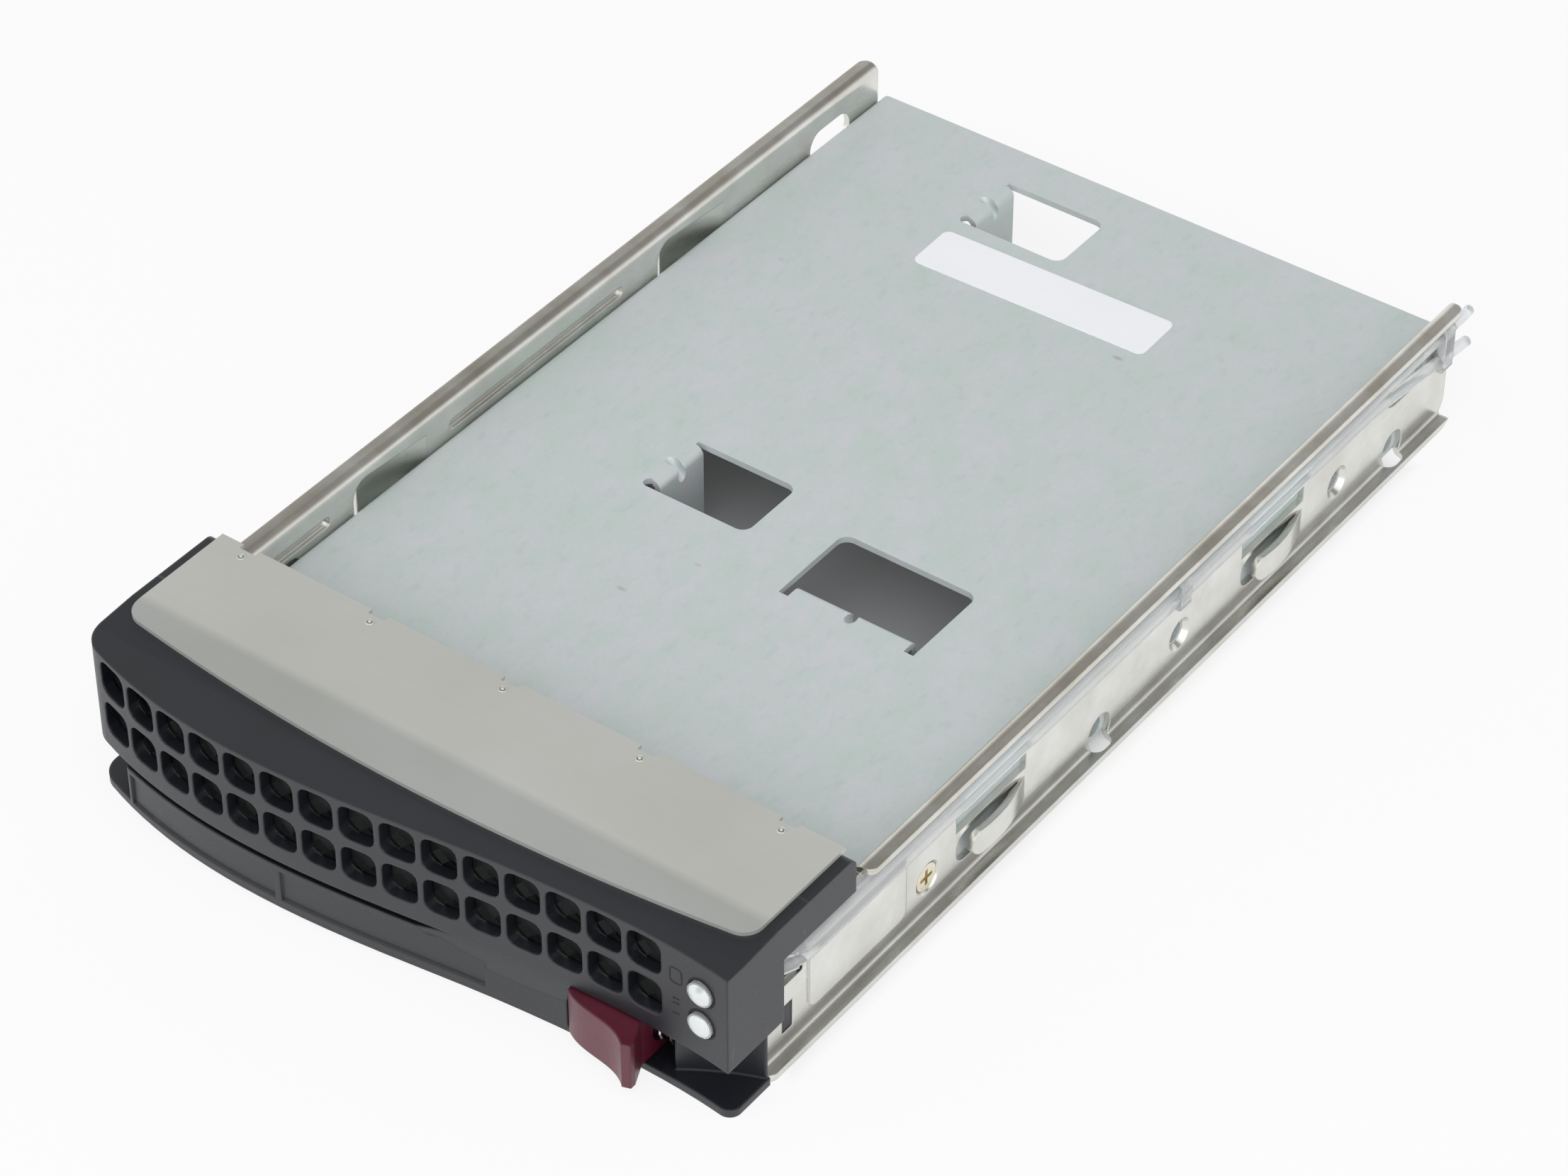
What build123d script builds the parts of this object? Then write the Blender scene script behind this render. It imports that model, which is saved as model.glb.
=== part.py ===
from build123d import *
import os
from math import cos, pi, sin

os.makedirs("parts", exist_ok=True)

# A hot-swap tray that holds a 2.5 inch drive in a 3.5 inch bay. Millimetres: x runs across the
# tray, y from the bezel at the front to the rear, z up from the underside of the rails.

# Sheet metal
sheet = 1.0
bend = 1.4
inner_bend = bend - sheet

# Adapter plate
plate_width = 101.6
plate_length = 147.0
plate_rear = 90.5
plate_top = 14.4
plate_foot = 1.2
plate_corner = 2.5
plate_under = plate_top - sheet
plate_front = plate_rear - plate_length
flange_in = plate_width / 2 - sheet

# Screw holes of the 2.5 inch drive, in the bent tabs on the left and the flange on the right
drive_pitch = 76.6
drive_hole_rear = plate_rear - 16.0
drive_hole_front = drive_hole_rear - drive_pitch
drive_hole_z = 3.45
drive_hole_r = 1.6
bay_left = -20.05
bay_front = drive_hole_front - 10.0
tab_foot = 0.9
tab_relief = 0.7
tab_notch_r = 0.9
gusset = 2.0
gusset_width = 2.6
groove_r = 0.85
groove_sink = 0.85

# Plate openings
window_width = 17.5
window_length = 12.3
window_corner = 1.75
window_front_y = drive_hole_front + 0.5
window_rear_y = drive_hole_rear + 1.8
stop_window_x = 18.5
stop_window_width = 22.6
stop_window_length = 13.8
stop_relief = 1.6

# Rails
rail_in = plate_width / 2
web_out = rail_in + sheet
flange_reach = 1.9
rail_out = web_out + flange_reach
rail_top = 20.5
rail_rear = plate_rear - 1.3
rail_heel = 4.0
rail_fit = 0.05
top_flange_corner = 1.4
web_step = rail_top - sheet - 0.05

# Screw holes of a 3.5 inch drive, through the rail webs into the plate
side_hole_z = 6.8
side_hole_rear = plate_rear - 31.6
side_hole_middle = plate_rear - 72.9
side_hole_front = plate_front + 13.8
side_hole_r = 1.9
side_sink_r = 2.55
plate_thread_r = 1.7

# Pressed springs of the rails
spring_front = plate_rear - 118.9
spring_rear = plate_rear - 49.4
spring_window = 15.4
spring_window_z = 6.3
spring_window_h = 4.8
spring_window_corner = 2.0
upper_window = 16.2
upper_window_foot = 9.7
upper_window_top = 18.9
upper_window_fall = 1.4
upper_window_corner = 3.0
upper_shift = 0.2
spring_gap = 0.3
spring_bulge = 1.7
spring_tip = 2.0
access_r = 2.7
access_z = 3.2
foot_notch_length = 4.4
foot_notch_reach = 2.4
foot_notch_corner = 1.6
bead_h = 1.7
bead_depth = 0.55
bead_z = 16.0
middle_bead_y = plate_rear - 85.7
middle_bead_length = 40.0
front_bead_length = 22.4
rear_slot_length = 10.3
rear_slot_h = 5.6
rear_slot_y = plate_rear - 13.9
rear_slot_z = 13.9

# Bezel: the front face follows one curve in plan, given as shares of the half width and
# depths in front of the seam with the plate
bezel_seam = plate_front - 20.1
bezel_half = rail_out - 0.1
front_shape = (
    (-1.0, 10.6),
    (-0.784, 14.1),
    (-0.578, 15.7),
    (-0.392, 16.0),
    (-0.056, 14.7),
    (0.261, 12.5),
    (0.578, 11.1),
    (0.821, 10.9),
    (1.0, 11.7),
)
front_points = [(bezel_half * share, bezel_seam - depth) for share, depth in front_shape]
bezel_foot = 9.2
bezel_top = 25.8
bezel_wall = 2.0
bezel_skin = 1.6
left_corner = 5.0
right_corner = 1.75
vent_side_left = 3.7
vent_side_right = 10.5
vent_pitch_x = 6.2
vent_pitch_z = 7.05
vent_z = 18.275
vent_width = 5.4
vent_height = 5.75
vent_corner = 1.5
vent_room = 2 * bezel_half - vent_side_left - vent_side_right
vent_columns = int(vent_room / vent_pitch_x + 0.1)
vent_x = (vent_side_left - vent_side_right) / 2
arm_in = rail_in + 0.1
arm_foot = 19.8
arm_length = 15.3
arm_rear = bezel_seam + arm_length
arm_corner = 1.5
lip_top = 1.2
lip_setback = 0.6
lip_left_corner = 4.0
back_wall_front = bezel_seam - 2.9
back_wall_rear = bezel_seam - 0.5
block_width = 10.6
block_left = bezel_half - block_width
block_front = bezel_seam - 8.8
screen_gap = 0.1
screen_thick = 0.4
screen_side = 0.6
screen_hole = 1.45

# Front end of the rails, seated against the bezel
rail_front = bezel_seam + 0.1
rail_nose = 3.0
nose_front = rail_front - rail_nose
nose_top = bezel_foot - 0.3
nose_corner = 1.4
top_flange_front = arm_rear + 3.3
pipe_notch_rear = bezel_seam + 6.4
pipe_notch_z = 12.1
latch_slot_y = bezel_seam + 3.1
latch_slot_length = 2.2
latch_slot_z = 6.25
latch_slot_h = 4.7
latch_tongue = 1.05
latch_tongue_rear = bezel_seam + 5.1
latch_foot = 3.2
panel_front = rail_front + 7.5
panel_length = 21.1
panel_foot = 4.0
panel_top = 14.6
panel_rise = 0.3
panel_corner = 1.5
front_bead_y = rail_front + 24.0

# Shield flap
flap_half = bezel_half - 1.7
flap_thick = 0.6
flap_corner = 3.0
flap_rear_corner = 1.2
flap_bend_y = bezel_seam - 1.0
flap_drop = 0.5
flap_front = bezel_seam - 8.15
flap_side_front = bezel_seam - 4.4
flap_notches = 5
flap_notch_inset = 6.8
flap_notch_pitch = 2 * (flap_half - flap_notch_inset) / (flap_notches - 1)
flap_notch_x = -1.6
flap_notch_width = 2.8
flap_notch_depth = 0.9
flap_pin_r = 0.4
flap_pin_inset = 2.2

# Release button: its right end faces the block across the travel and a clearance
button_width = 11.2
button_travel = 3.0
button_clear = 0.7
button_side = block_left - button_travel - button_clear
button_left = button_side - button_width
button_back = bezel_seam - 3.3
button_top = bezel_foot - 0.3
thumb_shape = ((0.0, 11.6), (0.205, 12.7), (0.545, 13.4), (0.83, 14.1), (1.02, 15.4))
thumb_lip = 1.4
guide_length = 4.0
guide_width = 1.5
guide_left = button_left + 2.8
guide_y = bezel_seam - 4.8
guide_clear = 0.2

# Lever and its hinge
hinge_x = 11.1 - bezel_half
hinge_y = bezel_seam - 7.4
lever_left = hinge_x - 3.5
lever_right = button_left - 0.5
lever_foot = lip_top + 0.2
lever_top = bezel_foot - 1.0
lever_thick = 4.5
lever_corner = 1.2
hub_r = 3.8
tooth_r = 9.0
pin_r = 1.3
pin_fit = 0.05
pin_foot = 0.4
coil_wire = 0.3
coil_r = 2.2
coil_turns = 3
coil_pitch = 0.8
coil_pocket_r = 2.9
coil_pocket_foot = 5.0
coil_leg_up = 1.6
coil_leg_down = 1.1
coil_steps = 12
panel_sink = 0.35
panel_border = 1.2
panel_split = -17.0
panel_end = 12.6
scoop_r = 60.0
scoop_depth = 1.3
scoop_tilt = 32.0

# Button spring
spring_y = bezel_seam - 6.4
spring_z = 5.0
spring_r = 1.5
spring_wire = 0.25
spring_room = 10.0
spring_pocket_x = block_left - spring_room
spring_pocket_r = 2.1
spring_turns = 5
peg_r = 0.9
peg_reach = 1.6

# Light pipes
pipe_r = 0.85
pipe_x = web_out + pipe_r + rail_fit
stub_r = 1.15
pipe_window_x = bezel_half - 4.4
pipe_window_r = 1.9
pipe_fit = 0.05
pipe_plug_front = bezel_seam - 11.7
pipe_plug_rear = bezel_seam - 8.8
pipe_bend_y = bezel_seam - 1.9
pipe_reach_y = bezel_seam + 5.4
pipe_bend_r = 4.0
stub_share = 0.85
upper_window_pipe_z = 20.4
upper_stub_z = 19.3
lower_window_pipe_z = 15.0
upper_pipe_z = 17.6
lower_pipe_z = 15.6
lower_pipe_end_z = 11.9
pipe_fall_y = plate_rear - 24.5
pipe_fall_r = 60.0
pipe_rear = plate_rear + 2.1
clip_wall = 0.75
clip_out = pipe_x + pipe_r + 0.3
clip_length = 2.4
clip_corner = 0.6
mid_clip_y = plate_rear - 75.0
rear_clip_y = plate_rear - 4.9
rear_clip_drop = 0.3

# Screws and label
screw_head_r = 2.15
screw_shank_r = 1.65
screw_reach = 3.5
screw_tip = rail_in - screw_reach
screw_face = web_out - 0.2
cross_width = 0.6
cross_length = 2.6
cross_depth = 0.7
label_x = -2.0
label_y = plate_rear - 27.7
label_length = 40.2
label_width = 9.3
label_thick = 0.1
label_tilt = 1.3

# A length that reaches past every edge of the tray
past = 2 * plate_length


def front_strip(near, far, left, right):
    """Plan region from near to far behind the front curve, between two x values."""
    with BuildLine() as strip:
        ahead = Spline(*[(x, y + near) for x, y in front_points])
        behind = Spline(*[(x, y + far) for x, y in front_points])
        Line(ahead @ 0, behind @ 0)
        Line(ahead @ 1, behind @ 1)
    make_face(strip.edges())
    with Locations(((left + right) / 2, 0)):
        Rectangle(right - left, 2 * past, mode=Mode.INTERSECT)


def vent_outline():
    """Points round one vent, with three short sides to each round corner."""
    corners = ((1, 1), (-1, 1), (-1, -1), (1, -1))
    points = []
    for quarter, (side_x, side_z) in enumerate(corners):
        for step in range(4):
            turn = pi / 2 * (quarter + step / 3)
            points.append(
                (
                    side_x * (vent_width / 2 - vent_corner) + vent_corner * cos(turn),
                    side_z * (vent_height / 2 - vent_corner) + vent_corner * sin(turn),
                )
            )
    return points


def bent_tab():
    """Section of a tab bent down: the origin is where its outer face meets the sheet's top."""
    with BuildLine() as section:
        Line((-bend, -sheet), (-bend, 0))
        outer = RadiusArc((-bend, 0), (0, -bend), bend)
        Line(outer @ 1, (0, tab_foot - plate_top))
        Line((0, tab_foot - plate_top), (-sheet, tab_foot - plate_top))
        Line((-sheet, tab_foot - plate_top), (-sheet, -bend))
        RadiusArc((-sheet, -bend), (-bend, -sheet), -inner_bend)
    make_face(section.edges())


def gusset_rib():
    """Section of the pressed rib that stiffens a bend from below."""
    with BuildLine() as section:
        Polyline(
            (-bend - gusset, -sheet),
            (-sheet, -sheet),
            (-sheet, -bend - gusset),
            close=True,
        )
    make_face(section.edges())


def wound_wire(base, radius, length, turns, wire, leg_down=0, leg_up=0):
    """Coil of wire that climbs along the normal of its base plane, with straight end legs."""
    steps = coil_steps * turns
    points = [
        (
            radius * cos(2 * pi * step / coil_steps),
            radius * sin(2 * pi * step / coil_steps),
            length * step / steps,
        )
        for step in range(steps + 1)
    ]
    if leg_down:
        points.insert(0, (radius, 0, -leg_down))
    if leg_up:
        points.append((radius, 0, length + leg_up))
    with BuildPart() as coil:
        with BuildLine(base) as path:
            Polyline(*points)
        start = path.edges().sort_by_distance(base.from_local_coords(points[0]))[0]
        with BuildSketch(Plane(origin=start @ 0, z_dir=start % 0)):
            RegularPolygon(wire, 6)
        sweep(path=path.wires()[0], transition=Transition.RIGHT)
    return coil.part


# Adapter plate: an inverted channel
with BuildPart() as adapter_plate:
    with BuildSketch(Plane.XZ.offset(-plate_rear)):
        with Locations((0, (plate_top + plate_foot) / 2)):
            outline = Rectangle(plate_width, plate_top - plate_foot)
        fillet(outline.vertices().group_by(Axis.Y)[-1], bend)
        with Locations((0, plate_under)):
            RectangleRounded(
                2 * flange_in,
                2 * plate_under,
                inner_bend,
                align=(Align.CENTER, Align.MAX),
                mode=Mode.SUBTRACT,
            )
    extrude(amount=plate_length)
    # Rounded lower corners of the side flanges
    feet = adapter_plate.edges().filter_by(Axis.X).group_by(Axis.Z)[0]
    fillet(feet, plate_corner)
    # Two windows whose left edge is bent down, and one whose front edge is
    bend_line = bay_left - bend
    stop_front = bay_front - bend
    with BuildSketch(Plane.XY.offset(plate_under)):
        with Locations((bend_line, window_front_y), (bend_line, window_rear_y)):
            RectangleRounded(
                window_width, window_length, window_corner, align=(Align.MIN, Align.CENTER)
            )
            Rectangle(window_corner, window_length, align=(Align.MIN, Align.CENTER))
        notch_y = tab_notch_r - window_length / 2
        with Locations(
            (bend_line, window_front_y + notch_y), (bend_line, window_rear_y + notch_y)
        ):
            Circle(tab_notch_r)
        with Locations((stop_window_x, stop_front)):
            RectangleRounded(
                stop_window_width,
                stop_window_length,
                window_corner,
                align=(Align.CENTER, Align.MIN),
            )
            Rectangle(stop_window_width, window_corner, align=(Align.CENTER, Align.MIN))
            with GridLocations(stop_window_width - stop_relief, 0, 2, 1):
                Rectangle(stop_relief, 2 * stop_relief)
    extrude(amount=2 * sheet, mode=Mode.SUBTRACT)
    tab_width = window_length - tab_notch_r - 2 * tab_relief
    tab_shift = tab_notch_r / 2
    for tab_y in (window_front_y + tab_shift, window_rear_y + tab_shift):
        tab_plane = Plane(
            origin=(bay_left, tab_y, plate_top), x_dir=(1, 0, 0), z_dir=(0, -1, 0)
        )
        with BuildSketch(tab_plane):
            bent_tab()
        extrude(amount=tab_width / 2, both=True)
        with BuildSketch(tab_plane):
            gusset_rib()
        extrude(amount=gusset_width / 2, both=True)
        with Locations(
            Location((bay_left - groove_sink, tab_y, plate_top - groove_sink), (0, 135, 0))
        ):
            Cylinder(groove_r, 4 * bend, mode=Mode.SUBTRACT)
    stop_plane = Plane(
        origin=(stop_window_x, bay_front, plate_top), x_dir=(0, 1, 0), z_dir=(1, 0, 0)
    )
    with BuildSketch(stop_plane):
        bent_tab()
    extrude(amount=stop_window_width / 2 - stop_relief, both=True)
    with BuildSketch(stop_plane):
        gusset_rib()
    extrude(amount=gusset_width / 2, both=True)
    with Locations(
        Location(
            (stop_window_x, bay_front - groove_sink, plate_top - groove_sink), (-135, 0, 0)
        )
    ):
        Cylinder(groove_r, 4 * bend, mode=Mode.SUBTRACT)
    # Drive screw holes in the tabs and the right flange
    with BuildSketch(Plane.YZ.offset(bay_left - 2 * sheet)):
        with Locations(
            (drive_hole_rear, drive_hole_z), (drive_hole_front, drive_hole_z)
        ):
            Circle(drive_hole_r)
    extrude(amount=plate_width, mode=Mode.SUBTRACT)
    # Threaded holes in both flanges for the rail screws
    with BuildSketch(Plane.YZ.offset(-plate_width)):
        with Locations(
            (side_hole_rear, side_hole_z),
            (side_hole_middle, side_hole_z),
            (side_hole_front, side_hole_z),
        ):
            Circle(plate_thread_r)
    extrude(amount=2 * plate_width, mode=Mode.SUBTRACT)
adapter_plate.part.label = "adapter_plate"
export_step(adapter_plate.part, "parts/adapter_plate.step")

# Rails: the right one as a blank, mirrored for the left
with BuildPart() as rail_blank:
    with BuildSketch(Plane.XZ.offset(-rail_rear)):
        with Locations(((rail_in + rail_out) / 2, rail_top / 2)):
            channel = Rectangle(rail_out - rail_in, rail_top)
        fillet(channel.vertices().group_by(Axis.X)[0], bend)
        with Locations((web_out, rail_top / 2)):
            RectangleRounded(
                2 * rail_out - 2 * web_out + bend,
                rail_top - 2 * sheet,
                inner_bend,
                align=(Align.MIN, Align.CENTER),
                mode=Mode.SUBTRACT,
            )
    extrude(amount=rail_rear - nose_front)
    # Side view of the rail: rounded heel, a lower front end under the bezel's arm, and a
    # nose that reaches under the bezel
    with BuildSketch(Plane.YZ.offset(rail_in - sheet)):
        with BuildLine():
            Polyline(
                (rail_rear, 0),
                (rail_rear, rail_top),
                (top_flange_front, rail_top),
                (top_flange_front, web_step),
                (pipe_notch_rear, web_step),
                (pipe_notch_rear, pipe_notch_z),
                (rail_front, pipe_notch_z),
                (rail_front, nose_top),
                (nose_front, nose_top),
                (nose_front, 0),
                close=True,
            )
        side_view = make_face()
        fillet(side_view.vertices().sort_by_distance((rail_rear, 0))[0], rail_heel)
    extrude(amount=rail_out, mode=Mode.INTERSECT)
    ends = rail_blank.edges().filter_by(Axis.Z).group_by(Axis.X)[-1]
    fillet(ends.group_by(Axis.Z)[-1], min(top_flange_corner, flange_reach - 0.1))
    nose = rail_blank.edges().filter_by(Axis.Z).group_by(Axis.X)[-1].group_by(Axis.Y)[0]
    fillet(nose, min(nose_corner, flange_reach - 0.1))
    # Raised panel near the front end of the web
    with BuildSketch(Plane.YZ.offset(rail_in)):
        with Locations((panel_front, panel_foot)):
            RectangleRounded(
                panel_length,
                panel_top - panel_foot,
                panel_corner,
                align=(Align.MIN, Align.MIN),
            )
    extrude(amount=sheet + panel_rise)
    with BuildSketch(Plane.YZ.offset(rail_in)):
        with Locations((panel_front + panel_rise, panel_foot + panel_rise)):
            RectangleRounded(
                panel_length - 2 * panel_rise,
                panel_top - panel_foot - 2 * panel_rise,
                panel_corner - panel_rise,
                align=(Align.MIN, Align.MIN),
            )
    extrude(amount=panel_rise, mode=Mode.SUBTRACT)
    # Cut-outs of the web
    with BuildSketch(Plane.YZ.offset(rail_in - sheet)):
        for spring_mid in (spring_front, spring_rear):
            with Locations((spring_mid, spring_window_z)):
                RectangleRounded(spring_window, spring_window_h, spring_window_corner)
            front_end = spring_mid + upper_shift - upper_window / 2
            rear_end = spring_mid + upper_shift + upper_window / 2
            with BuildLine():
                Polyline(
                    (front_end, upper_window_foot),
                    (rear_end, upper_window_foot),
                    (rear_end, upper_window_top - upper_window_fall),
                    (front_end, upper_window_top),
                    close=True,
                )
            tall = make_face()
            fillet(
                tall.vertices().sort_by_distance((front_end, upper_window_top))[0],
                upper_window_corner,
            )
        with Locations((drive_hole_rear, access_z), (drive_hole_front, access_z)):
            Circle(access_r)
        with Locations((rear_slot_y, rear_slot_z)):
            SlotOverall(rear_slot_length, rear_slot_h)
        with Locations((latch_slot_y, latch_slot_z)):
            Rectangle(latch_slot_length, latch_slot_h)
    extrude(amount=2.2 * sheet, mode=Mode.SUBTRACT)
    # Long beads pressed into the inner face above the plate
    with BuildSketch(Plane.YZ.offset(rail_in)):
        with Locations((middle_bead_y, bead_z)):
            SlotOverall(middle_bead_length, bead_h)
        with Locations((front_bead_y, bead_z)):
            SlotOverall(front_bead_length, bead_h)
    extrude(amount=bead_depth, mode=Mode.SUBTRACT)
    # Notches of the lower flange under the access holes
    with BuildSketch(Plane.XY.offset(-sheet)):
        with Locations((rail_in, drive_hole_rear), (rail_in, drive_hole_front)):
            RectangleRounded(
                2 * foot_notch_reach, foot_notch_length, foot_notch_corner
            )
    extrude(amount=2.5 * sheet, mode=Mode.SUBTRACT)
    # Countersunk screw holes
    for hole_y in (side_hole_rear, side_hole_middle, side_hole_front):
        with Locations(Location((rail_in, hole_y, side_hole_z), (0, 90, 0))):
            Cone(
                side_hole_r,
                side_sink_r,
                sheet,
                align=(Align.CENTER, Align.CENTER, Align.MIN),
                mode=Mode.SUBTRACT,
            )


def pressed_spring(window, foot, top, fall):
    """Strip pressed out of the web: its root joins the web at the rear, its tip is free."""
    root = window / 2 + spring_gap
    tip = spring_tip - window / 2
    with BuildPart() as strip:
        with BuildSketch(Plane.XY.offset(foot)):
            with BuildLine():
                outside = ThreePointArc(
                    (web_out, root),
                    (web_out + spring_bulge, 0),
                    (web_out + 0.7 * spring_bulge, tip),
                )
                inside = ThreePointArc(
                    (rail_in, root),
                    (rail_in + spring_bulge, 0),
                    (rail_in + 0.7 * spring_bulge, tip),
                )
                Line(outside @ 0, inside @ 0)
                Line(outside @ 1, inside @ 1)
            make_face()
        extrude(amount=top - foot)
        # The top edge falls to the rear with its window
        with BuildSketch(Plane.YZ.offset(rail_in - sheet)):
            with BuildLine():
                Polyline(
                    (tip, foot),
                    (root, foot),
                    (root, top - fall),
                    (tip, top),
                    close=True,
                )
            leaf = make_face()
            fillet(leaf.vertices().group_by(Axis.X)[0], spring_window_corner)
        extrude(amount=past, mode=Mode.INTERSECT)
    return strip.part


low_spring = pressed_spring(
    spring_window,
    spring_window_z - spring_window_h / 2 + spring_gap,
    spring_window_z + spring_window_h / 2 - spring_gap,
    0,
)
tall_spring = pressed_spring(
    upper_window,
    upper_window_foot + spring_gap,
    upper_window_top - spring_gap,
    upper_window_fall,
)

with BuildPart() as right_rail:
    add(rail_blank.part)
    with Locations((0, spring_front, 0), (0, spring_rear, 0)):
        add(low_spring)
right_rail.part.label = "right_rail"
export_step(right_rail.part, "parts/right_rail.step")

with BuildPart() as left_rail:
    mirror(right_rail.part, about=Plane.YZ)
    with Locations(
        (0, spring_front + upper_shift, 0), (0, spring_rear + upper_shift, 0)
    ):
        add(mirror(tall_spring, about=Plane.YZ, mode=Mode.PRIVATE))
left_rail.part.label = "left_rail"
export_step(left_rail.part, "parts/left_rail.step")

# Bezel
with BuildPart() as front_bezel:
    with BuildSketch(Plane.XY.offset(bezel_foot)):
        with BuildLine():
            front = Spline(*front_points)
            Line(front @ 1, (bezel_half, bezel_seam))
            Line((bezel_half, bezel_seam), (-bezel_half, bezel_seam))
            Line((-bezel_half, bezel_seam), front @ 0)
        plan = make_face()
        fillet(plan.vertices().sort_by_distance(front_points[0])[0], left_corner)
        fillet(plan.vertices().sort_by_distance(front_points[-1])[0], right_corner)
    extrude(amount=bezel_top - bezel_foot)
    # Hollow, open to the rear
    with BuildSketch(Plane.XY.offset(bezel_foot + bezel_skin)):
        front_strip(bezel_wall, past, bezel_wall - bezel_half, bezel_half - bezel_wall)
    extrude(amount=bezel_top - bezel_foot - 2 * bezel_skin, mode=Mode.SUBTRACT)
    # Vents
    with BuildSketch(Plane.XZ.offset(-bezel_seam)):
        with Locations((vent_x, vent_z)):
            with GridLocations(vent_pitch_x, vent_pitch_z, vent_columns, 2):
                Polygon(*vent_outline(), align=(Align.CENTER, Align.CENTER))
        with Locations(
            (pipe_window_x, upper_window_pipe_z), (pipe_window_x, lower_window_pipe_z)
        ):
            Circle(pipe_window_r + pipe_fit)
    extrude(amount=past, mode=Mode.SUBTRACT)
    # Side arms over the rails, rounded at the rear
    for side in (-1, 1):
        with BuildSketch(Plane.XY.offset(arm_foot)):
            with Locations((side * (arm_in + bezel_half) / 2, (arm_rear + bezel_seam) / 2)):
                Rectangle(bezel_half - arm_in, arm_length)
        extrude(amount=bezel_top - arm_foot)
    arm_ends = front_bezel.edges().filter_by(Axis.X).group_by(Axis.Y)[-1]
    fillet(arm_ends.group_by(Axis.Z)[-1], arm_corner)
    # Lower lip, which stops at the noses of the rails
    with BuildSketch():
        front_strip(lip_setback, past, -bezel_half, bezel_half)
        with Locations((0, bezel_seam)):
            Rectangle(past, past, align=(Align.CENTER, Align.MAX), mode=Mode.INTERSECT)
        with Locations((rail_in - rail_fit, nose_front - rail_fit)):
            Rectangle(past, past, align=(Align.MIN, Align.MIN), mode=Mode.SUBTRACT)
        with Locations((rail_fit - rail_in, nose_front - rail_fit)):
            Rectangle(past, past, align=(Align.MAX, Align.MIN), mode=Mode.SUBTRACT)
    extrude(amount=lip_top)
    lip_ends = front_bezel.edges().filter_by(Axis.Z)
    lip_left = lip_ends.sort_by_distance((-bezel_half, front_points[0][1], 0))[0]
    lip_right = lip_ends.sort_by_distance((bezel_half, front_points[-1][1], 0))[0]
    fillet(lip_left, lip_left_corner)
    fillet(lip_right, right_corner)
    # Wall behind the lever, open on the left where the lever's tooth swings back
    with BuildSketch():
        wall_left = hinge_x + pin_r + hub_r
        with Locations((wall_left, back_wall_front)):
            Rectangle(
                rail_in - rail_fit - wall_left,
                back_wall_rear - back_wall_front,
                align=(Align.MIN, Align.MIN),
            )
        # Block at the right of the button, round in front and stepped round the rail's nose
        block_out = bezel_half - 0.4
        with BuildLine():
            sweep_back = ThreePointArc(
                (block_left, block_front),
                ((block_left + bezel_half) / 2 + 0.3, (block_front + nose_front) / 2 + 0.5),
                (block_out, nose_front - 0.4),
            )
            Polyline(
                sweep_back @ 1,
                (block_out, nose_front - rail_fit),
                (rail_in - rail_fit, nose_front - rail_fit),
                (rail_in - rail_fit, back_wall_rear),
                (block_left, back_wall_rear),
                sweep_back @ 0,
            )
        make_face()
    extrude(amount=bezel_foot + bezel_skin / 2)
    # Latches that snap into the rails
    tongue_x = rail_in - rail_fit - latch_tongue / 2
    for side in (-1, 1):
        with BuildSketch(Plane.YZ.offset(side * tongue_x)):
            with Locations((latch_tongue_rear, bezel_foot)):
                Rectangle(
                    latch_tongue_rear - bezel_seam + 2 * bezel_wall,
                    bezel_skin,
                    align=(Align.MAX, Align.MIN),
                )
            with Locations((latch_tongue_rear, latch_foot)):
                Rectangle(
                    latch_tongue_rear - latch_slot_y + 1.6,
                    bezel_foot + bezel_skin / 2 - latch_foot,
                    align=(Align.MAX, Align.MIN),
                )
        extrude(amount=latch_tongue / 2, both=True)
        hook_depth = web_out - 0.1 - tongue_x
        with Locations((side * (tongue_x + hook_depth / 2), latch_slot_y, latch_slot_z)):
            Box(hook_depth, latch_slot_length - 0.3, latch_slot_h - 0.4)
    # Hinge pin hole and the hole that takes the end of the lever spring
    with Locations((hinge_x, hinge_y)):
        Cylinder(
            pin_r,
            bezel_foot + bezel_skin,
            align=(Align.CENTER, Align.CENTER, Align.MIN),
            mode=Mode.SUBTRACT,
        )
    with Locations((hinge_x + coil_r, hinge_y, bezel_foot)):
        Cylinder(coil_wire + pin_fit, 2 * bezel_skin, mode=Mode.SUBTRACT)
    # Guide slot of the button's foot
    with Locations((guide_left - guide_clear, guide_y)):
        Box(
            guide_length + button_travel + 3 * guide_clear,
            guide_width + 2 * guide_clear,
            4 * lip_top,
            align=(Align.MIN, Align.CENTER, Align.CENTER),
            mode=Mode.SUBTRACT,
        )
    # Peg inside the button spring
    with Locations(Location((block_left - peg_reach, spring_y, spring_z), (0, 90, 0))):
        Cylinder(peg_r, peg_reach + 1, align=(Align.CENTER, Align.CENTER, Align.MIN))
    # Top face falls to the front under the flap
    with BuildSketch(Plane.YZ.offset(-bezel_half - 1)):
        with BuildLine():
            Polyline(
                (flap_bend_y, bezel_top),
                (flap_front, bezel_top - flap_drop),
                (flap_front - past, bezel_top - flap_drop),
                (flap_front - past, bezel_top + flap_thick),
                (flap_bend_y, bezel_top + flap_thick),
                close=True,
            )
        make_face()
    extrude(amount=past, mode=Mode.SUBTRACT)
front_bezel.part.label = "front_bezel"
export_step(front_bezel.part, "parts/front_bezel.step")

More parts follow.
